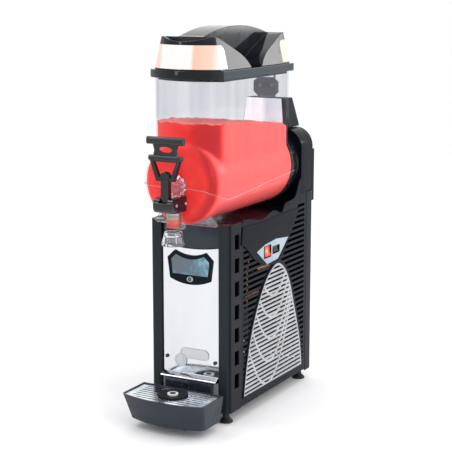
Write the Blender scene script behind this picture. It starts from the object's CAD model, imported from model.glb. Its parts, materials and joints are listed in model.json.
import json
import math

import bmesh
import bpy
import numpy as np
import openvdb
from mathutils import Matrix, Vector


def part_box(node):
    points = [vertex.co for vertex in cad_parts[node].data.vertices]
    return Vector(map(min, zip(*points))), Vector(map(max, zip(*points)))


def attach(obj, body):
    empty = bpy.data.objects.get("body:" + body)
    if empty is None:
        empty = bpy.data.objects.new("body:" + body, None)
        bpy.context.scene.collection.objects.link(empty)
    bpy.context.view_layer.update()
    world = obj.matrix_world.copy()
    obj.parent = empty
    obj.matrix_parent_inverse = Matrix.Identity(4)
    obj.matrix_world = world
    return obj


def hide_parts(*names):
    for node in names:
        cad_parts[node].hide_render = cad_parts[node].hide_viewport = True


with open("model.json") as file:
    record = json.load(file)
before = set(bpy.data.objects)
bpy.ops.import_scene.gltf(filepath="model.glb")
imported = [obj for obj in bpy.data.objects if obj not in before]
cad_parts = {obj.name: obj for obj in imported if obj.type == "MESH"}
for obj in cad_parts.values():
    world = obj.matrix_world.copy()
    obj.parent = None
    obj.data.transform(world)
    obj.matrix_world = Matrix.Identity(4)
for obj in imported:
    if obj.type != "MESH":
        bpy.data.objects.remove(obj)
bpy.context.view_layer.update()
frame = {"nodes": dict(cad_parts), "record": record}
NODES = frame["nodes"]
MM = 0.001

# ---- places worked out from the frame ----
BOWL_LOW, BOWL_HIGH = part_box("bowl")
SEAT_LOW, SEAT_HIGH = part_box("bowl_seat")
SLUSH_LOW, SLUSH_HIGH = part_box("slush_fill")
BLOCK_LOW, BLOCK_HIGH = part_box("pivot_block")
NOZZLE_LOW, NOZZLE_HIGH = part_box("nozzle")
AXIS_Z = (SEAT_LOW.z + SEAT_HIGH.z) / 2
BOWL_R = 91.9 * MM
BOWL_WALL = 3 * MM
BOWL_EDGE = 30 * MM
BOWL_BACK = BOWL_HIGH.y
BOWL_FRONT = BLOCK_HIGH.y + 0.2 * MM
HOPPER_TOP = BOWL_HIGH.z
HOPPER_HALF = 85 * MM
HOPPER_CORNERS = (BOWL_FRONT + 49.5 * MM, BOWL_FRONT + 353 * MM)
HOPPER_BOWS = (38 * MM, 20 * MM)
SLUSH_LEVEL = 0.652
AUGER_SWEEP = 85.8 * MM
TUBE_Y = (NOZZLE_LOW.y + NOZZLE_HIGH.y) / 2
TUBE_LOW, TUBE_HIGH = NOZZLE_HIGH.z + 0.2 * MM, BLOCK_LOW.z - 0.2 * MM
BOSS_LOW, BOSS_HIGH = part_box("front_boss")
BOSS_Z = (BOSS_LOW.z + BOSS_HIGH.z) / 2

# ---- other driving values ----
PATCH_SCALE = 18.0
WEAR_SCALE = PATCH_SCALE * 4.3
PLASTIC_IOR = 1.49
GRAZING_POWER = 3.5
# Light that a finish gives off itself.
GLOW = {"slush": 0.27, "label": 0.92, "display": 0.62, "lamp": 0.86, "rocker": 0.9}
SAME_POINT = 0.00001
FLAT_ANGLE, CAD_EDGE_ANGLE, EDGE_ANGLE = 0.4, 38, 35
FIELD_MARGIN = 0.006
BOWL_STEP, SLUSH_STEP = 2.5 * MM, 2.2 * MM
WALL_ROUND, CORNER_ROUND = 0.006, 0.012
FAR_INSIDE = -0.05
BEAD_SIDES = 10
PATH_STEPS = 8
SKIN_TRIES = 12
STAR_POINTS = 12
FLOOR_HALF = 90.0
STUDIO_STRENGTH = 1.28
CAMERA_PLACE = (1.3507, -2.413, 0.9413)
CAMERA_DOWN, CAMERA_ROUND = 10.94, 29.09
CAMERA_LENS, CAMERA_SENSOR = 100.8, 36


# ---- materials ----
def new_material(name):
    material = bpy.data.materials.new(name)
    material.use_nodes = True
    return material, material.node_tree, material.node_tree.nodes["Principled BSDF"]


def noise_value(tree, scale, detail=4.0, stretch=(1, 1, 1)):
    """Noise laid over the object's own coordinates."""
    place = tree.nodes.new("ShaderNodeTexCoord")
    mapping = tree.nodes.new("ShaderNodeMapping")
    mapping.inputs["Scale"].default_value = stretch
    noise = tree.nodes.new("ShaderNodeTexNoise")
    noise.inputs["Scale"].default_value = scale
    noise.inputs["Detail"].default_value = detail
    tree.links.new(place.outputs["Object"], mapping.inputs["Vector"])
    tree.links.new(mapping.outputs["Vector"], noise.inputs["Vector"])
    return noise.outputs["Fac"]


def ramp(tree, value, stops, smooth=False):
    """Colours along a value: stops are (position, (r, g, b))."""
    node = tree.nodes.new("ShaderNodeValToRGB")
    node.color_ramp.interpolation = "EASE" if smooth else "LINEAR"
    elements = node.color_ramp.elements
    while len(elements) < len(stops):
        elements.new(0.5)
    for element, (position, colour) in zip(elements, stops):
        element.position = position
        element.color = (*colour, 1)
    tree.links.new(value, node.inputs["Fac"])
    return node.outputs["Color"]


def spread(tree, value, low, high, start=0.35, end=0.65):
    node = tree.nodes.new("ShaderNodeMapRange")
    node.inputs["From Min"].default_value = start
    node.inputs["From Max"].default_value = end
    node.inputs["To Min"].default_value = low
    node.inputs["To Max"].default_value = high
    tree.links.new(value, node.inputs["Value"])
    return node.outputs["Result"]


def roughen(tree, shader, scale, low, high):
    """A roughness that wanders between two values."""
    tree.links.new(spread(tree, noise_value(tree, scale), low, high), shader.inputs["Roughness"])


def combine(tree, operation, a, b):
    """One value from two, where each is a socket or a plain number."""
    node = tree.nodes.new("ShaderNodeMath")
    node.operation = operation
    for socket, value in zip(node.inputs, (a, b)):
        if isinstance(value, float):
            socket.default_value = value
        else:
            tree.links.new(value, socket)
    return node.outputs[0]


def axis_value(tree, axis):
    """The place along one of the object's own axes."""
    place = tree.nodes.new("ShaderNodeTexCoord")
    parts = tree.nodes.new("ShaderNodeSeparateXYZ")
    tree.links.new(place.outputs["Object"], parts.inputs["Vector"])
    return parts.outputs[axis]


def facing_value(tree, axis):
    """How squarely the surface faces along an axis, from -1 to 1."""
    geometry = tree.nodes.new("ShaderNodeNewGeometry")
    parts = tree.nodes.new("ShaderNodeSeparateXYZ")
    tree.links.new(geometry.outputs["Normal"], parts.inputs["Vector"])
    return parts.outputs[axis]


def distance_value(tree, point, keep=(1, 1, 1)):
    """The distance from a point, counted only along the axes that keep picks."""
    place = tree.nodes.new("ShaderNodeTexCoord")
    flat = tree.nodes.new("ShaderNodeVectorMath")
    flat.operation = "MULTIPLY"
    flat.inputs[1].default_value = keep
    distance = tree.nodes.new("ShaderNodeVectorMath")
    distance.operation = "DISTANCE"
    distance.inputs[1].default_value = [point[i] * keep[i] for i in range(3)]
    tree.links.new(place.outputs["Object"], flat.inputs[0])
    tree.links.new(flat.outputs["Vector"], distance.inputs[0])
    return distance.outputs["Value"]


def blend(tree, share, a, b):
    """Colour a, turning into colour b as the share rises."""
    node = tree.nodes.new("ShaderNodeMix")
    node.data_type = "RGBA"
    tree.links.new(share, node.inputs["Factor"])
    tree.links.new(a, node.inputs["A"])
    tree.links.new(b, node.inputs["B"])
    return node.outputs["Result"]


def glow(tree, shader, colour, strength):
    tree.links.new(colour, shader.inputs["Emission Color"])
    shader.inputs["Emission Strength"].default_value = strength


def add_bump(tree, shader, value, strength, distance):
    bump = tree.nodes.new("ShaderNodeBump")
    bump.inputs["Strength"].default_value = strength
    bump.inputs["Distance"].default_value = distance
    tree.links.new(value, bump.inputs["Height"])
    tree.links.new(bump.outputs["Normal"], shader.inputs["Normal"])


def surface(name, colour_a, colour_b, rough, grain=None, metal=0.0, stretch=(1, 1, 1), shine=0.5):
    """A finish: two close colours in patches, a roughness range, and a grain (scale, strength, depth)."""
    material, tree, shader = new_material(name)
    patches = noise_value(tree, PATCH_SCALE, 5.0, stretch)
    tree.links.new(ramp(tree, patches, [(0.35, colour_a), (0.65, colour_b)]), shader.inputs["Base Color"])
    wear = noise_value(tree, WEAR_SCALE, 6.0, stretch)
    tree.links.new(spread(tree, wear, *rough), shader.inputs["Roughness"])
    shader.inputs["Metallic"].default_value = metal
    shader.inputs["Specular IOR Level"].default_value = shine
    if grain:
        fine = noise_value(tree, grain[0], 3.0, stretch)
        add_bump(tree, shader, fine, grain[1], grain[2])
    return material


def clear_material(name, tints, dry_tints, haze, gloss_rough, facing, grazing):
    """Clear plastic with faint upright streaks, greyer above the drink and shinier towards grazing."""
    material, tree, shader = new_material(name)
    see = tree.nodes.new("ShaderNodeBsdfTransparent")
    streaks = noise_value(tree, 26.0, 3.0, (1, 1, 0.06))
    dry = spread(tree, axis_value(tree, "Z"), 0.0, 1.0, SLUSH_LEVEL - 0.004, SLUSH_LEVEL + 0.010)
    wet_colour = ramp(tree, streaks, [(0.38, tints[0]), (0.62, tints[1])])
    dry_colour = ramp(tree, streaks, [(0.38, dry_tints[0]), (0.62, dry_tints[1])])
    tree.links.new(blend(tree, dry, wet_colour, dry_colour), see.inputs["Color"])
    shader.inputs["Base Color"].default_value = (*haze, 1)
    shader.inputs["IOR"].default_value = 2.2
    smears = noise_value(tree, 9.0, 4.0, (1, 1, 0.4))
    tree.links.new(spread(tree, smears, gloss_rough, gloss_rough * 3), shader.inputs["Roughness"])
    edge = tree.nodes.new("ShaderNodeLayerWeight")
    edge.inputs["Blend"].default_value = 0.5
    rise = combine(tree, "POWER", edge.outputs["Facing"], GRAZING_POWER)
    share = spread(tree, rise, facing, grazing, 0.0, 1.0)
    mix = tree.nodes.new("ShaderNodeMixShader")
    tree.links.new(share, mix.inputs["Fac"])
    tree.links.new(see.outputs["BSDF"], mix.inputs[1])
    tree.links.new(shader.outputs["BSDF"], mix.inputs[2])
    tree.links.new(mix.outputs["Shader"], tree.nodes["Material Output"].inputs["Surface"])
    return material


def crystal_material(name, tint, share):
    """Thick clear plastic that bends what is seen through it."""
    material, tree, shader = new_material(name)
    shader.inputs["Base Color"].default_value = (*tint, 1)
    shader.inputs["Transmission Weight"].default_value = share
    shader.inputs["IOR"].default_value = PLASTIC_IOR
    roughen(tree, shader, 30.0, 0.01, 0.06)
    return material


def bracket_material():
    """Dark bracket in front, bare steel plate behind it."""
    material, tree, shader = new_material("bracket")
    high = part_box("tray_bracket")[1]
    depth = spread(tree, axis_value(tree, "Y"), 0.0, 1.0, high.y - 0.004, high.y - 0.0025)
    colours = ramp(tree, depth, [(0.0, (0.016, 0.024, 0.032)), (1.0, (0.40, 0.46, 0.50))])
    tree.links.new(colours, shader.inputs["Base Color"])
    shader.inputs["Coat Weight"].default_value = 0.5
    roughen(tree, shader, 60.0, 0.18, 0.3)
    return material


def ring_material(name, node, keep, reach, stops):
    """Rings about a node's middle: keep picks the two axes that count, stops are the ring colours."""
    material, tree, shader = new_material(name)
    low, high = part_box(node)
    ring = spread(tree, distance_value(tree, (low + high) / 2, keep), 0.0, 1.0, 0.0, reach)
    tree.links.new(ramp(tree, ring, stops), shader.inputs["Base Color"])
    roughen(tree, shader, 60.0, 0.22, 0.4)
    return material


def turned_material(name, front, right, rough, shine):
    """A dark finish that shows one tone to the front and another to the right."""
    material, tree, shader = new_material(name)
    turned = spread(tree, facing_value(tree, "X"), 0.0, 1.0, 0.45, 0.9)
    tree.links.new(ramp(tree, turned, [(0.0, front), (1.0, right)]), shader.inputs["Base Color"])
    roughen(tree, shader, 30.0, *rough)
    shader.inputs["Specular IOR Level"].default_value = shine
    return material


def badge_material():
    """Pale badge whose upright edges are inked dark."""
    material, tree, shader = new_material("badge")
    facing = spread(tree, facing_value(tree, "Y"), 0.0, 1.0, -0.5, -0.9)
    colours = ramp(tree, facing, [(0.0, (0.02, 0.02, 0.025)), (1.0, (0.66, 0.67, 0.70))])
    tree.links.new(colours, shader.inputs["Base Color"])
    roughen(tree, shader, 60.0, 0.22, 0.35)
    return material


def lamp_material():
    """The lid's lamp lens: pink, white and peach panels across it, and peach at the back."""
    material, tree, shader = new_material("lamp_lens")
    along = spread(tree, axis_value(tree, "X"), 0.0, 1.0, -0.08, 0.08)
    pink, white, peach = (1.0, 0.62, 0.50), (1.0, 0.97, 0.95), (1.0, 0.55, 0.38)
    pale_peach, pale, edge = (1.0, 0.66, 0.5), (1.0, 0.92, 0.88), (1.0, 0.8, 0.74)
    colours = ramp(tree, along, [(0.0, pink), (0.13, pink), (0.17, white), (0.64, white), (0.68, peach),
                                 (0.90, pale_peach), (0.955, pale), (1.0, edge)])
    rear = tree.nodes.new("ShaderNodeMix")
    rear.data_type = "RGBA"
    tree.links.new(spread(tree, axis_value(tree, "Y"), 0.0, 1.0, 0.05, 0.06), rear.inputs["Factor"])
    tree.links.new(colours, rear.inputs["A"])
    rear.inputs["B"].default_value = (1.0, 0.62, 0.47, 1)
    shader.inputs["Base Color"].default_value = (0.12, 0.11, 0.11, 1)
    glow(tree, shader, rear.outputs["Result"], GLOW["lamp"])
    roughen(tree, shader, 60.0, 0.12, 0.25)
    return material


def slush_material():
    """Wet red ice: salmon on its right side, deep red at the front corner, frosted pink on top."""
    material, tree, shader = new_material("slush")
    patches = noise_value(tree, 34.0, 6.0)
    crumbs = noise_value(tree, 420.0, 5.0)
    red = ramp(tree, patches, [(0.3, (0.84, 0.034, 0.030)), (0.7, (0.97, 0.056, 0.048))])
    deep = ramp(tree, patches, [(0.3, (0.42, 0.012, 0.014)), (0.7, (0.52, 0.018, 0.020))])
    salmon = ramp(tree, patches, [(0.3, (0.95, 0.098, 0.088)), (0.7, (0.98, 0.128, 0.116))])
    frost = ramp(tree, crumbs, [(0.4, (0.92, 0.10, 0.08)), (0.62, (1.0, 0.48, 0.44))])
    rightward, backward = facing_value(tree, "X"), facing_value(tree, "Y")
    on_front = spread(tree, backward, 0.0, 1.0, -0.25, -0.60)
    off_front = spread(tree, backward, 1.0, 0.0, -0.15, -0.55)
    corner = combine(tree, "MULTIPLY", on_front, spread(tree, rightward, 0.0, 1.0, -0.02, 0.5))
    side = combine(tree, "MULTIPLY", off_front, spread(tree, rightward, 0.0, 1.0, 0.1, 0.7))
    on_top = spread(tree, facing_value(tree, "Z"), 0.0, 0.85, 0.74, 0.9)
    colour = blend(tree, side, red, salmon)
    colour = blend(tree, corner, colour, deep)
    colour = blend(tree, on_top, colour, frost)
    tree.links.new(colour, shader.inputs["Base Color"])
    glow(tree, shader, colour, GLOW["slush"])
    tree.links.new(spread(tree, patches, 0.35, 0.5), shader.inputs["Roughness"])
    shader.inputs["Specular IOR Level"].default_value = 0.14
    add_bump(tree, shader, crumbs, 0.2, 0.0004)
    return material


def ribbed_steel_material():
    """Stainless plate pressed with fine ridges that run from side to side."""
    material, tree, shader = new_material("ribbed_steel")
    shader.inputs["Metallic"].default_value = 1.0
    tones = noise_value(tree, 26.0, 5.0, (0.3, 1, 1))
    tree.links.new(ramp(tree, tones, [(0.35, (0.44, 0.51, 0.57)), (0.65, (0.80, 0.84, 0.87))]),
                   shader.inputs["Base Color"])
    tree.links.new(spread(tree, tones, 0.18, 0.32), shader.inputs["Roughness"])
    place = tree.nodes.new("ShaderNodeTexCoord")
    wave = tree.nodes.new("ShaderNodeTexWave")
    wave.bands_direction = "Y"
    wave.inputs["Scale"].default_value = 55.0
    wave.inputs["Distortion"].default_value = 1.2
    wave.inputs["Detail"].default_value = 1.0
    tree.links.new(place.outputs["Object"], wave.inputs["Vector"])
    add_bump(tree, shader, wave.outputs["Fac"], 0.3, 0.0004)
    return material


def label_material():
    """Blank glossy label: white at its left, greyer towards its right."""
    material, tree, shader = new_material("paper_label")
    tones = noise_value(tree, 12.0)
    across = spread(tree, axis_value(tree, "X"), 0.0, 1.0, -0.012, 0.004)
    colour = blend(tree, across, ramp(tree, tones, [(0.35, (0.92, 0.92, 0.93)), (0.65, (0.97, 0.97, 0.97))]),
                   ramp(tree, tones, [(0.35, (0.64, 0.68, 0.73)), (0.65, (0.74, 0.77, 0.81))]))
    tree.links.new(colour, shader.inputs["Base Color"])
    glow(tree, shader, colour, GLOW["label"])
    tree.links.new(spread(tree, tones, 0.18, 0.3), shader.inputs["Roughness"])
    return material


def contact_material():
    """Dark grey plate with two copper contacts."""
    material, tree, shader = new_material("contact_plate")
    low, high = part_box("contact_plate")
    middle = (low + high) / 2
    reaches = [distance_value(tree, (middle.x + side * 0.015, low.y, middle.z - 0.004)) for side in (-1, 1)]
    dot = spread(tree, combine(tree, "MINIMUM", *reaches), 0.0, 1.0, 0.0, 0.007)
    colours = ramp(tree, dot, [(0.0, (0.85, 0.42, 0.38)), (0.42, (0.70, 0.40, 0.36)),
                               (0.52, (0.24, 0.30, 0.34)), (1.0, (0.21, 0.27, 0.31))])
    tree.links.new(colours, shader.inputs["Base Color"])
    roughen(tree, shader, 60.0, 0.35, 0.5)
    return material


def display_material():
    """A lit window: dim grey-blue, brightening to cyan along its foot and its right side."""
    material, tree, shader = new_material("display_glass")
    low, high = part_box("display_lens")
    across = spread(tree, axis_value(tree, "X"), 0.0, 0.80, low.x, high.x)
    downward = spread(tree, axis_value(tree, "Z"), 0.62, 0.0, low.z, (low.z + high.z) / 2)
    clouds = spread(tree, noise_value(tree, 55.0), -0.14, 0.2)
    brightness = combine(tree, "ADD", combine(tree, "MAXIMUM", across, downward), clouds)
    colours = ramp(tree, brightness, [(0.0, (0.10, 0.13, 0.15)), (0.45, (0.09, 0.15, 0.20)),
                                      (0.66, (0.10, 0.28, 0.38)), (0.85, (0.26, 0.54, 0.68)),
                                      (1.0, (0.45, 0.70, 0.86))], True)
    shader.inputs["Base Color"].default_value = (0.04, 0.05, 0.06, 1)
    glow(tree, shader, colours, GLOW["display"])
    roughen(tree, shader, 40.0, 0.05, 0.12)
    return material


def rocker_material():
    """Red lit switch with an orange heart."""
    material, tree, shader = new_material("red_rocker")
    low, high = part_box("power_rocker")
    heart = spread(tree, distance_value(tree, (low + high) / 2), 0.0, 1.0, 0.004, 0.016)
    colours = ramp(tree, heart, [(0.0, (1.0, 0.28, 0.05)), (0.45, (0.95, 0.05, 0.015)),
                                 (1.0, (0.45, 0.01, 0.01))])
    tree.links.new(colours, shader.inputs["Base Color"])
    glow(tree, shader, colours, GLOW["rocker"])
    roughen(tree, shader, 50.0, 0.15, 0.28)
    return material


def piston_material():
    """White plunger, wetted red at its foot."""
    material, tree, shader = new_material("plunger")
    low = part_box("tap_piston")[0]
    upward = spread(tree, axis_value(tree, "Z"), 0.0, 1.0, low.z, low.z + 0.034)
    colours = ramp(tree, upward, [(0.0, (0.75, 0.10, 0.06)), (0.42, (0.72, 0.12, 0.08)),
                                  (0.6, (0.52, 0.40, 0.34)), (1.0, (0.62, 0.64, 0.58))], True)
    tree.links.new(colours, shader.inputs["Base Color"])
    roughen(tree, shader, 80.0, 0.25, 0.4)
    return material


MATERIALS = {
    "gloss_black": surface("gloss_black", (0.002, 0.003, 0.006), (0.004, 0.006, 0.010), (0.06, 0.13),
                           shine=0.06),
    "lid_gloss": surface("lid_gloss", (0.0022, 0.0032, 0.006), (0.005, 0.0065, 0.011), (0.06, 0.13),
                         shine=0.34),
    "satin_black": surface("satin_black", (0.003, 0.006, 0.010), (0.006, 0.010, 0.016), (0.24, 0.36),
                           grain=(900, 0.10, 0.0003), shine=0.07),
    "charcoal": surface("charcoal", (0.022, 0.029, 0.040), (0.028, 0.037, 0.049), (0.36, 0.48),
                        grain=(1100, 0.12, 0.0003), shine=0.25),
    "dark_grey": surface("dark_grey", (0.020, 0.027, 0.038), (0.027, 0.036, 0.049), (0.10, 0.2), shine=0.28),
    "mirror_steel": surface("mirror_steel", (0.65, 0.665, 0.695), (0.70, 0.715, 0.745), (0.05, 0.11),
                            metal=1.0, stretch=(1, 1, 0.15)),
    "satin_steel": surface("satin_steel", (0.60, 0.61, 0.63), (0.70, 0.71, 0.72), (0.22, 0.36), metal=1.0,
                           grain=(420, 0.10, 0.0002), stretch=(0.08, 1, 1)),
    "ribbed_steel": ribbed_steel_material(),
    "silver_plastic": surface("silver_plastic", (0.40, 0.41, 0.43), (0.50, 0.51, 0.53), (0.26, 0.38),
                              metal=0.15, grain=(1300, 0.10, 0.0002), shine=0.3),
    "silver_blue": surface("silver_blue", (0.34, 0.41, 0.50), (0.45, 0.53, 0.61), (0.22, 0.34), metal=0.4,
                           grain=(1500, 0.08, 0.0002)),
    "clear_plastic": clear_material("clear_plastic", ((0.955, 0.956, 0.965), (0.98, 0.978, 0.986)),
                                    ((0.905, 0.91, 0.928), (0.955, 0.955, 0.966)),
                                    (0.12, 0.12, 0.13), 0.04, 0.02, 0.34),
    "clear_edge": clear_material("clear_edge", ((0.88, 0.88, 0.90), (0.96, 0.96, 0.97)),
                                 ((0.88, 0.88, 0.90), (0.96, 0.96, 0.97)), (0.65, 0.65, 0.68),
                                 0.06, 0.16, 0.95),
    "crystal": crystal_material("crystal", (0.95, 0.86, 0.96), 0.93),
    "clear_thick": crystal_material("clear_thick", (0.93, 0.93, 0.95), 0.96),
    "bracket": bracket_material(),
    "float_ring": ring_material("float_ring", "tray_float", (1, 1, 0), 0.012,
                                [(0.0, (0.006, 0.007, 0.009)), (0.56, (0.006, 0.007, 0.009)),
                                 (0.64, (0.62, 0.62, 0.62)), (1.0, (0.68, 0.68, 0.68))]),
    "button_ring": ring_material("button_ring", "mode_button", (1, 0, 1), 0.010,
                                 [(0.0, (0.10, 0.11, 0.12)), (0.30, (0.05, 0.055, 0.06)),
                                  (0.44, (0.03, 0.035, 0.04)), (0.52, (0.38, 0.40, 0.42))]),
    "rim_black": turned_material("rim_black", (0.002, 0.003, 0.005), (0.028, 0.040, 0.052),
                                 (0.06, 0.14), 0.3),
    "pillar_black": turned_material("pillar_black", (0.019, 0.025, 0.029), (0.004, 0.005, 0.008),
                                    (0.08, 0.16), 0.1),
    "neck_black": turned_material("neck_black", (0.012, 0.012, 0.015), (0.006, 0.009, 0.015),
                                  (0.4, 0.55), 0.1),
    "badge": badge_material(),
    "tap_black": surface("tap_black", (0.006, 0.008, 0.011), (0.011, 0.013, 0.017), (0.10, 0.18),
                         grain=(500, 0.04, 0.0003), shine=0.45),
    "disc_black": surface("disc_black", (0.005, 0.006, 0.008), (0.010, 0.011, 0.013), (0.5, 0.65),
                          shine=0.12),
    "pin_grey": surface("pin_grey", (0.36, 0.37, 0.38), (0.46, 0.47, 0.48), (0.35, 0.5)),
    "display_glass": display_material(),
    "contact_plate": contact_material(),
    "slush": slush_material(),
    "rubber": surface("rubber", (0.010, 0.010, 0.012), (0.018, 0.018, 0.020), (0.5, 0.65),
                      grain=(700, 0.2, 0.0003), shine=0.3),
    "copper": surface("copper", (0.50, 0.22, 0.13), (0.60, 0.30, 0.19), (0.25, 0.4), metal=1.0),
    "chrome": surface("chrome", (0.86, 0.86, 0.88), (0.92, 0.92, 0.93), (0.05, 0.12), metal=1.0),
    "board": surface("board", (0.01, 0.12, 0.05), (0.02, 0.17, 0.07), (0.35, 0.5), grain=(500, 0.2, 0.0003)),
    "motor_grey": surface("motor_grey", (0.03, 0.035, 0.04), (0.05, 0.055, 0.06), (0.4, 0.55), shine=0.3),
    "compressor_black": surface("compressor_black", (0.01, 0.01, 0.012), (0.02, 0.02, 0.022), (0.3, 0.45),
                                shine=0.3),
    "white_plastic": surface("white_plastic", (0.46, 0.46, 0.46), (0.56, 0.56, 0.56), (0.3, 0.42),
                             grain=(900, 0.1, 0.0002)),
    "lamp_lens": lamp_material(),
    "red_rocker": rocker_material(),
    "black_rocker": surface("black_rocker", (0.006, 0.006, 0.008), (0.012, 0.012, 0.014), (0.12, 0.2),
                            shine=0.3),
    "frame_grey": surface("frame_grey", (0.16, 0.165, 0.17), (0.22, 0.225, 0.23), (0.4, 0.55), metal=0.6),
    "plunger": piston_material(),
    "paper_label": label_material(),
}
# Nodes that carry a finish of their own instead of their slot's.
OWN_FINISH = {
    "tap_piston": "plunger", "tray_grid": "ribbed_steel", "contact_plate": "contact_plate",
    "nozzle": "clear_thick", "piston_rings": "plunger", "tray_bracket": "bracket",
    "tray_float": "float_ring", "badge_plate": "badge", "tap_lever": "tap_black",
    "pivot_block": "tap_black", "drain_disc": "disc_black", "pivot_pins": "pin_grey",
    "mode_button": "button_ring", "lid_rim": "rim_black", "corner_pillars": "pillar_black",
    "panel_screws": "motor_grey", "lid_housing": "lid_gloss", "neck_cover": "neck_black",
}


# ---- carried-over CAD nodes ----
# Width of the softened edge, in millimetres, for the nodes whose edges show.
EDGE_WIDTH = {
    "corner_pillars": 0.8, "front_panel": 0.4, "front_fascia": 0.6, "display_bezel": 0.8, "ledge_strip": 0.7,
    "tray_bracket": 0.8, "side_panels": 1.1, "side_fascias": 0.9, "switch_plate": 0.2, "rocker_frames": 0.4,
    "top_deck": 0.8, "pivot_pins": 0.4, "tower_shell": 2.0, "rear_panel": 0.6, "motor_cover": 1.0,
    "neck_cover": 2.0, "contact_plate": 0.6, "bowl_seat": 1.2, "pivot_block": 1.0, "lid_rim": 1.2,
    "lid_housing": 1.0, "lid_lenses": 0.8, "tap_lever": 2.0, "drip_tray": 1.2, "power_rocker": 0.6,
    "light_rocker": 0.6, "mode_button": 0.8, "badge_plate": 0.4, "base_pan": 0.8, "drain_disc": 0.5,
    "tray_float": 0.6, "nozzle": 0.8,
}


def soften(node, width_mm):
    """Round a CAD node's hard edges a little with modifiers, and shade it smooth."""
    item = NODES[node]
    weld = item.modifiers.new("weld", "WELD")
    weld.merge_threshold = SAME_POINT
    if width_mm:
        flats = item.modifiers.new("flats", "DECIMATE")
        flats.decimate_type = "DISSOLVE"
        flats.angle_limit = math.radians(FLAT_ANGLE)
        bevel = item.modifiers.new("edge", "BEVEL")
        bevel.width = width_mm * MM
        bevel.segments = 2
        bevel.limit_method = "ANGLE"
        bevel.angle_limit = math.radians(CAD_EDGE_ANGLE)
        bevel.use_clamp_overlap = True
    normals = item.modifiers.new("normals", "WEIGHTED_NORMAL")
    normals.keep_sharp = False
    for polygon in item.data.polygons:
        polygon.use_smooth = True


def dress_cad_nodes():
    for entry in frame["record"]["subparts"]:
        node = entry["node"]
        item = NODES[node]
        item.data.materials.clear()
        item.data.materials.append(MATERIALS[OWN_FINISH.get(node, entry["material_slot"])])
        if node in EDGE_WIDTH:
            soften(node, EDGE_WIDTH[node])


# ---- mesh helpers ----
def add_object(name, mesh, material, body, smooth=True):
    item = bpy.data.objects.new(name, mesh)
    bpy.context.scene.collection.objects.link(item)
    mesh.materials.clear()
    mesh.materials.append(MATERIALS[material])
    for polygon in mesh.polygons:
        polygon.use_smooth = smooth
    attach(item, body)
    return item


def mesh_from(points, faces, name):
    mesh = bpy.data.meshes.new(name)
    mesh.from_pydata([tuple(p) for p in points], [], [tuple(f) for f in faces])
    mesh.validate()
    mesh.update()
    return mesh


def bevel_edges(item, width, segments=3):
    bevel = item.modifiers.new("edge", "BEVEL")
    bevel.width = width
    bevel.segments = segments
    bevel.limit_method = "ANGLE"
    bevel.angle_limit = math.radians(EDGE_ANGLE)
    normals = item.modifiers.new("normals", "WEIGHTED_NORMAL")
    normals.keep_sharp = False


def plate_mesh(name, outline, direction, thickness):
    """Extrude a closed outline of points along a direction."""
    mesh = bpy.data.meshes.new(name)
    work = bmesh.new()
    low = [work.verts.new(p) for p in outline]
    face = work.faces.new(low)
    extruded = bmesh.ops.extrude_face_region(work, geom=[face])
    moved = [v for v in extruded["geom"] if isinstance(v, bmesh.types.BMVert)]
    bmesh.ops.translate(work, verts=moved, vec=Vector(direction) * thickness)
    bmesh.ops.recalc_face_normals(work, faces=work.faces)
    work.to_mesh(mesh)
    work.free()
    return mesh


def lathe_mesh(name, profile, place, turns=96, closed=True):
    """Turn (radius, height) pairs; place(radius, angle, height) puts each one in the scene."""
    points = []
    faces = []
    count = len(profile)
    for i in range(turns):
        angle = 2 * math.pi * i / turns
        for radius, height in profile:
            points.append(place(radius, angle, height))
    steps = count if closed else count - 1
    for i in range(turns):
        for j in range(steps):
            a, b = i * count + j, i * count + (j + 1) % count
            c, d = ((i + 1) % turns) * count + (j + 1) % count, ((i + 1) % turns) * count + j
            faces.append((a, d, c, b))
    return mesh_from(points, faces, name)


def tidy_mesh(mesh):
    """Join doubled points and turn all the faces outwards."""
    work = bmesh.new()
    work.from_mesh(mesh)
    bmesh.ops.remove_doubles(work, verts=work.verts, dist=SAME_POINT)
    bmesh.ops.dissolve_degenerate(work, edges=work.edges, dist=SAME_POINT)
    bmesh.ops.recalc_face_normals(work, faces=work.faces)
    work.to_mesh(mesh)
    work.free()
    return mesh


# ---- bowl and drink, as one smooth distance field ----
def smooth_min(a, b, k):
    h = np.clip(0.5 + 0.5 * (b - a) / k, 0, 1)
    return b * (1 - h) + a * h - k * h * (1 - h)


def smooth_max(a, b, k):
    return -smooth_min(-a, -b, k)


def barrel_distance(x, y, z):
    radius = np.hypot(x, z - AXIS_Z) - (BOWL_R - BOWL_EDGE)
    front = (BOWL_FRONT + BOWL_EDGE) - y
    outside = np.hypot(np.maximum(radius, 0), np.maximum(front, 0))
    return outside + np.minimum(np.maximum(radius, front), 0) - BOWL_EDGE


def bow_radius(bow):
    return (HOPPER_HALF ** 2 + bow ** 2) / (2 * bow)


def hopper_distance(x, y, z):
    front_r, back_r = bow_radius(HOPPER_BOWS[0]), bow_radius(HOPPER_BOWS[1])
    front = np.hypot(x, y - (HOPPER_CORNERS[0] - HOPPER_BOWS[0] + front_r)) - front_r
    back = np.hypot(x, y - (HOPPER_CORNERS[1] + HOPPER_BOWS[1] - back_r)) - back_r
    front = np.where(y > HOPPER_CORNERS[0] + 0.1, FAR_INSIDE, front)
    back = np.where(y < HOPPER_CORNERS[1] - 0.1, FAR_INSIDE, back)
    walls = smooth_max(np.abs(x) - HOPPER_HALF, smooth_max(front, back, WALL_ROUND), CORNER_ROUND)
    return np.maximum(walls, AXIS_Z - z)


def bowl_distance(x, y, z):
    return smooth_min(barrel_distance(x, y, z), hopper_distance(x, y, z), WALL_ROUND)


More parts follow.
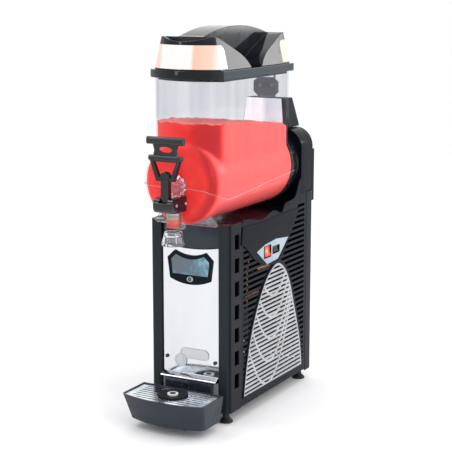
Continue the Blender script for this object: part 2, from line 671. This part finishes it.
def field_mesh(name, field, low, high, step, level=0.0):
    """The surface where the field has the given level."""
    axes = [np.arange(low[i], high[i] + step, step) for i in range(3)]
    x, y, z = np.meshgrid(*axes, indexing="ij")
    values = field(x, y, z).astype(np.float32)
    grid = openvdb.FloatGrid(1.0)
    grid.copyFromArray(values)
    points, quads = grid.convertToQuads(isovalue=level)
    points = np.asarray(points, float) * step + np.array([axis[0] for axis in axes])
    return mesh_from(points, np.asarray(quads)[:, ::-1], name)


def cut_away(mesh, point, normal):
    """Remove what lies beyond a plane, leaving the cut open."""
    work = bmesh.new()
    work.from_mesh(mesh)
    everything = list(work.verts) + list(work.edges) + list(work.faces)
    bmesh.ops.bisect_plane(work, geom=everything, plane_co=point, plane_no=normal, clear_outer=True)
    work.to_mesh(mesh)
    work.free()


def make_bowl():
    """The bowl's outer and inner skins, joined at the open top and the open back."""
    low = (BOWL_LOW.x - FIELD_MARGIN, BOWL_FRONT - FIELD_MARGIN, AXIS_Z - BOWL_R - FIELD_MARGIN)
    high = (BOWL_HIGH.x + FIELD_MARGIN, BOWL_BACK + FIELD_MARGIN, HOPPER_TOP + FIELD_MARGIN)
    skins = []
    for level in (0.0, -BOWL_WALL):
        skin = field_mesh("skin", bowl_distance, low, high, BOWL_STEP, level)
        cut_away(skin, (0, 0, HOPPER_TOP), (0, 0, 1))
        cut_away(skin, (0, BOWL_BACK, 0), (0, 1, 0))
        skins.append(skin)
    work = bmesh.new()
    work.from_mesh(skins[1])
    bmesh.ops.reverse_faces(work, faces=work.faces)
    work.from_mesh(skins[0])
    for axis, place in ((2, HOPPER_TOP), (1, BOWL_BACK)):
        rim = [e for e in work.edges
               if e.is_boundary and all(abs(v.co[axis] - place) < SAME_POINT for v in e.verts)]
        bmesh.ops.bridge_loops(work, edges=rim)
    mesh = bpy.data.meshes.new("bowl_shell")
    work.to_mesh(mesh)
    work.free()
    bowl = add_object("bowl_shell", mesh, "clear_plastic", "bowl")
    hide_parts("bowl")


def slush_distance(x, y, z):
    """The drink: inside the bowl, under a wavy surface that slopes down to the back and rises at the wall."""
    inside = bowl_distance(x, y, z) + BOWL_WALL + 0.5 * MM
    waves = 0.0016 * np.sin(x * 95 + 1.3) * np.cos(y * 61) + 0.0012 * np.sin(x * 41 - y * 120 + 0.7)
    waves += 0.0008 * np.sin(x * 260 + y * 190) + 0.0007 * np.cos(x * 330 - y * 290)
    slope = -0.026 * np.clip((y - HOPPER_CORNERS[0] - 0.028) / 0.254, 0, 1.2) ** 1.35
    rim = 0.0025 * np.exp(-(np.maximum(-inside, 0) / 0.004))
    top = z - (SLUSH_LEVEL + waves + slope + rim)
    return smooth_max(smooth_max(inside, top, WALL_ROUND), y - SLUSH_HIGH.y, 0.001)


def about_axis(radius, angle, height):
    """Where a lathe that turns about the auger's axis puts a pair."""
    return (radius * math.sin(angle), height, AXIS_Z + radius * math.cos(angle))


def make_slush():
    """The drink, with the room that the auger sweeps left open."""
    low = (SLUSH_LOW.x - FIELD_MARGIN, SLUSH_LOW.y - FIELD_MARGIN, SLUSH_LOW.z - FIELD_MARGIN)
    high = (SLUSH_HIGH.x + FIELD_MARGIN, SLUSH_HIGH.y + FIELD_MARGIN, SLUSH_HIGH.z + 0.016)
    drink = field_mesh("slush_drink", slush_distance, low, high, SLUSH_STEP)
    slush = add_object("slush_drink", drink, "slush", "bowl")
    front = SLUSH_LOW.y + 83 * MM
    back = SLUSH_HIGH.y + 0.02
    profile = [(0.0, front), (AUGER_SWEEP, front), (AUGER_SWEEP, back), (0.0, back)]
    cutter_mesh = lathe_mesh("sweep", profile, about_axis, 128, closed=False)
    cutter = bpy.data.objects.new("sweep", tidy_mesh(cutter_mesh))
    bpy.context.scene.collection.objects.link(cutter)
    hollow = slush.modifiers.new("sweep", "BOOLEAN")
    hollow.operation = "DIFFERENCE"
    hollow.solver = "EXACT"
    hollow.object = cutter
    graph = bpy.context.evaluated_depsgraph_get()
    cut = bpy.data.meshes.new_from_object(slush.evaluated_get(graph))
    slush.modifiers.clear()
    slush.data = cut
    bpy.data.objects.remove(cutter)
    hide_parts("slush_fill")


# ---- smaller clear pieces ----
def slab(name, low, high):
    """A box between two corners."""
    outline = [(low[0], low[1], low[2]), (high[0], low[1], low[2]), (high[0], high[1], low[2]),
               (low[0], high[1], low[2])]
    return plate_mesh(name, outline, (0, 0, 1), high[2] - low[2])


def joined(name, meshes):
    work = bmesh.new()
    for mesh in meshes:
        work.from_mesh(mesh)
    result = bpy.data.meshes.new(name)
    work.to_mesh(result)
    work.free()
    return result


def on_skin(x, y, z, out):
    """The nearest point that stands out from the barrel by the given distance."""
    point = np.array([x, y, z], float)
    for _ in range(SKIN_TRIES):
        here = barrel_distance(*point)
        rises = [barrel_distance(*(point + step)) - here for step in np.eye(3) * SAME_POINT]
        slope = np.array(rises) / SAME_POINT
        point -= slope / np.linalg.norm(slope) * (here - out)
    return Vector(point)


def tube_along(name, points, radius):
    """A round bead through the points."""
    ring_points = []
    faces = []
    for i, point in enumerate(points):
        ahead = points[min(i + 1, len(points) - 1)] - points[max(i - 1, 0)]
        side = ahead.cross(Vector((0.1, 0.2, 1))).normalized()
        up = side.cross(ahead).normalized()
        for k in range(BEAD_SIDES):
            angle = 2 * math.pi * k / BEAD_SIDES
            ring_points.append(point + (side * math.cos(angle) + up * math.sin(angle)) * radius)
    for i in range(len(points) - 1):
        for k in range(BEAD_SIDES):
            a, b = i * BEAD_SIDES + k, i * BEAD_SIDES + (k + 1) % BEAD_SIDES
            faces.append((a, b, b + BEAD_SIDES, a + BEAD_SIDES))
    last = (len(points) - 1) * BEAD_SIDES
    faces.append(tuple(reversed(range(BEAD_SIDES))))
    faces.append(tuple(range(last, last + BEAD_SIDES)))
    return tidy_mesh(mesh_from(ring_points, faces, name))


def smooth_path(points):
    """A Catmull-Rom line through the points."""
    line = []
    for i in range(len(points) - 1):
        p0, p1 = points[max(i - 1, 0)], points[i]
        p2, p3 = points[i + 1], points[min(i + 2, len(points) - 1)]
        for k in range(PATH_STEPS):
            t = k / PATH_STEPS
            line.append(0.5 * (2 * p1 + (p2 - p0) * t + (2 * p0 - 5 * p1 + 4 * p2 - p3) * t * t
                               + (3 * p1 - p0 - 3 * p2 + p3) * t ** 3))
    line.append(points[-1])
    return line


def make_seam():
    """The bead where the bowl's two mouldings meet, across the front and along both sides, and its tab."""
    front = BOWL_FRONT
    bend = [(0.055, front + 0.002, 0.5185), (0.070, front + 0.012, 0.5145), (0.080, front + 0.026, 0.507),
            (0.085, front + 0.046, 0.498)]
    side = [(0.0865, front + 0.086, 0.4926), (0.089, front + 0.209, 0.5044), (0.091, front + 0.366, 0.5168)]
    right = bend + side
    left = [(-0.091, front + 0.366, 0.5168), (-0.091, front + 0.200, 0.518), (-0.090, front + 0.060, 0.5195),
            (-0.080, front + 0.010, 0.5205)]
    knots = left + [(-0.040, front, 0.520), (0.0, front, 0.5198), (0.030, front, 0.5195)] + right
    points = [on_skin(*knot, 0.3 * MM) for knot in smooth_path([Vector(k) for k in knots])]
    add_object("bowl_seam", tube_along("bowl_seam", points, 0.75 * MM), "clear_edge", "bowl")
    tab = slab("bowl_tab", (-0.0980, front + 0.022, 0.5190), (-0.0860, front + 0.030, 0.5210))
    bevel_edges(add_object("bowl_tab", tab, "clear_edge", "bowl", smooth=False), 0.5 * MM, 2)


def make_bowl_fittings():
    """The tap tube, its web, the rear lug and the skirt under the barrel."""
    bore, wall = 14 * MM, 3 * MM
    profile = [(bore, TUBE_LOW), (bore + wall - 0.001, TUBE_LOW), (bore + wall, TUBE_LOW + 0.001),
               (bore + wall, TUBE_HIGH - 0.001), (bore + wall - 0.001, TUBE_HIGH), (bore, TUBE_HIGH)]

    def place(radius, angle, height):
        return (radius * math.cos(angle), TUBE_Y + radius * math.sin(angle), height)

    tube_mesh = lathe_mesh("tap_tube", profile, place)
    add_object("tap_tube", tidy_mesh(tube_mesh), "clear_plastic", "bowl")
    web_front = TUBE_Y + bore + wall - 0.0006
    fittings = [slab("web", (-0.010, web_front, TUBE_LOW + 0.002), (0.010, -0.176, TUBE_HIGH)),
                slab("lug", (-0.0097, -0.202, 0.482), (0.0097, -0.188, 0.499))]
    brackets = add_object("bowl_fittings", joined("bowl_fittings", fittings), "clear_edge", "bowl",
                          smooth=False)
    bevel_edges(brackets, 0.4 * MM, 2)
    corners = [(-60, 462), (60, 462), (78, 441), (72, 436.8), (-72, 436.8), (-78, 441)]
    outline = [(x * MM, -0.160, z * MM) for x, z in corners]
    skirt_mesh = plate_mesh("bowl_skirt", outline, (0, 1, 0), 3 * MM)
    skirt = add_object("bowl_skirt", skirt_mesh, "clear_thick", "bowl", smooth=False)
    bevel_edges(skirt, 0.8 * MM, 3)


def make_star():
    """The faceted cap over the auger's front bearing, notched over the tap."""
    radius = BOSS_HIGH.x
    front, back = BOSS_LOW.y, BOSS_HIGH.y
    profile = [(0.0, front + 0.002), (0.25, front), (0.55, front + 0.003), (0.8, front), (1.0, front + 0.003),
               (1.0, back - 0.001), (0.9, back), (0.0, back)]

    def place(share, angle, depth):
        lobe = 0.5 + 0.5 * math.cos(STAR_POINTS * angle)
        reach = share * radius * (1 - 0.16 * lobe * share)
        x, z = reach * math.sin(angle), BOSS_Z + reach * math.cos(angle)
        if depth < back - 0.004:
            depth += 0.0036 * lobe * share
        if abs(x) < 0.0135 and z < BOSS_Z - 0.001:
            depth = max(depth, front + 0.0066)
        return (x, depth, z)

    star_mesh = tidy_mesh(lathe_mesh("star_cap", profile, place, 72, closed=False))
    star = add_object("star_cap", star_mesh, "crystal", "bowl", smooth=False)
    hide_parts("front_boss")


def make_filter():
    """Dark dust filter inside the rear vents."""
    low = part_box("rear_panel")[0]
    sheet = slab("dust_filter", (-0.060, low.y - 0.0016, 0.100), (0.060, low.y - 0.0004, 0.365))
    mat = add_object("dust_filter", sheet, "satin_black", "chassis", smooth=False)
    bevel_edges(mat, 0.3 * MM, 2)


def make_label():
    """The blank white label on the front of the neck."""
    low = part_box("neck_cover")[0]
    front = low.y - 0.0006
    corners = [(-0.057, 0.620), (0.045, 0.620), (0.041, 0.6755), (-0.0495, 0.6755)]
    outline = [(x, front, z) for x, z in corners]
    paper = plate_mesh("neck_label", outline, (0, 1, 0), 0.0005)
    label = add_object("neck_label", paper, "paper_label", "chassis", smooth=False)
    bevel_edges(label, 0.15 * MM, 2)


# ---- camera, light and floor ----
def floor_material():
    """Plain pale matt floor."""
    material, tree, shader = new_material("floor")
    colours = ramp(tree, noise_value(tree, 1.5), [(0.35, (0.925, 0.925, 0.93)), (0.65, (0.935, 0.935, 0.94))])
    tree.links.new(colours, shader.inputs["Base Color"])
    roughen(tree, shader, 0.6, 0.75, 0.85)
    shader.inputs["Specular IOR Level"].default_value = 0.1
    return material


def make_stage():
    """The floor, and a studio that is dimmer towards the front left."""
    corners = [(x * FLOOR_HALF, y * FLOOR_HALF, 0) for x, y in ((-1, -1), (1, -1), (1, 1), (-1, 1))]
    floor_mesh = mesh_from(corners, [(0, 1, 2, 3)], "floor")
    floor = bpy.data.objects.new("floor", floor_mesh)
    bpy.context.scene.collection.objects.link(floor)
    floor_mesh.materials.append(floor_material())
    world = bpy.data.worlds.new("studio")
    bpy.context.scene.world = world
    world.use_nodes = True
    tree = world.node_tree
    place = tree.nodes.new("ShaderNodeTexCoord")
    toward = tree.nodes.new("ShaderNodeVectorMath")
    toward.operation = "DOT_PRODUCT"
    toward.inputs[1].default_value = (0.5, 0.866, 0.0)
    tree.links.new(place.outputs["Generated"], toward.inputs[0])
    colours = ramp(tree, spread(tree, toward.outputs["Value"], 0.0, 1.0, -0.9, 0.2),
                   [(0.0, (0.45, 0.46, 0.48)), (1.0, (1.0, 1.0, 1.0))])
    tree.links.new(colours, tree.nodes["Background"].inputs["Color"])
    tree.nodes["Background"].inputs["Strength"].default_value = STUDIO_STRENGTH
    bpy.context.scene.view_settings.view_transform = "Standard"


def area_light(name, place, target, size, power):
    data = bpy.data.lights.new(name, "AREA")
    data.shape = "RECTANGLE"
    data.size, data.size_y = size
    data.energy = power
    light = bpy.data.objects.new(name, data)
    light.location = place
    light.rotation_euler = (Vector(target) - Vector(place)).to_track_quat("-Z", "Y").to_euler()
    bpy.context.scene.collection.objects.link(light)


def make_lights():
    middle = (0, 0, 0.45)
    area_light("key", (2.3, -1.2, 1.5), middle, (0.5, 1.8), 14)
    area_light("front", (-1.6, -2.4, 1.4), middle, (0.3, 1.8), 7)
    area_light("top", (0.3, -0.4, 2.9), middle, (1.6, 1.6), 10)
    area_light("glint", (-1.2, -0.75, 2.75), (0, -0.2, 0.5), (1.2, 0.22), 8)
    area_light("lid", (0.95, 1.35, 0.95), (0, 0, 0.79), (0.6, 0.35), 2.6)


def make_camera():
    data = bpy.data.cameras.new("camera")
    data.sensor_width = CAMERA_SENSOR
    data.lens = CAMERA_LENS
    camera = bpy.data.objects.new("camera", data)
    camera.location = CAMERA_PLACE
    camera.rotation_euler = (math.radians(90 - CAMERA_DOWN), 0, math.radians(CAMERA_ROUND))
    bpy.context.scene.collection.objects.link(camera)
    bpy.context.scene.camera = camera


make_camera()
make_stage()
make_lights()
dress_cad_nodes()
make_bowl()
make_slush()
make_seam()
make_bowl_fittings()
make_star()
make_label()
make_filter()
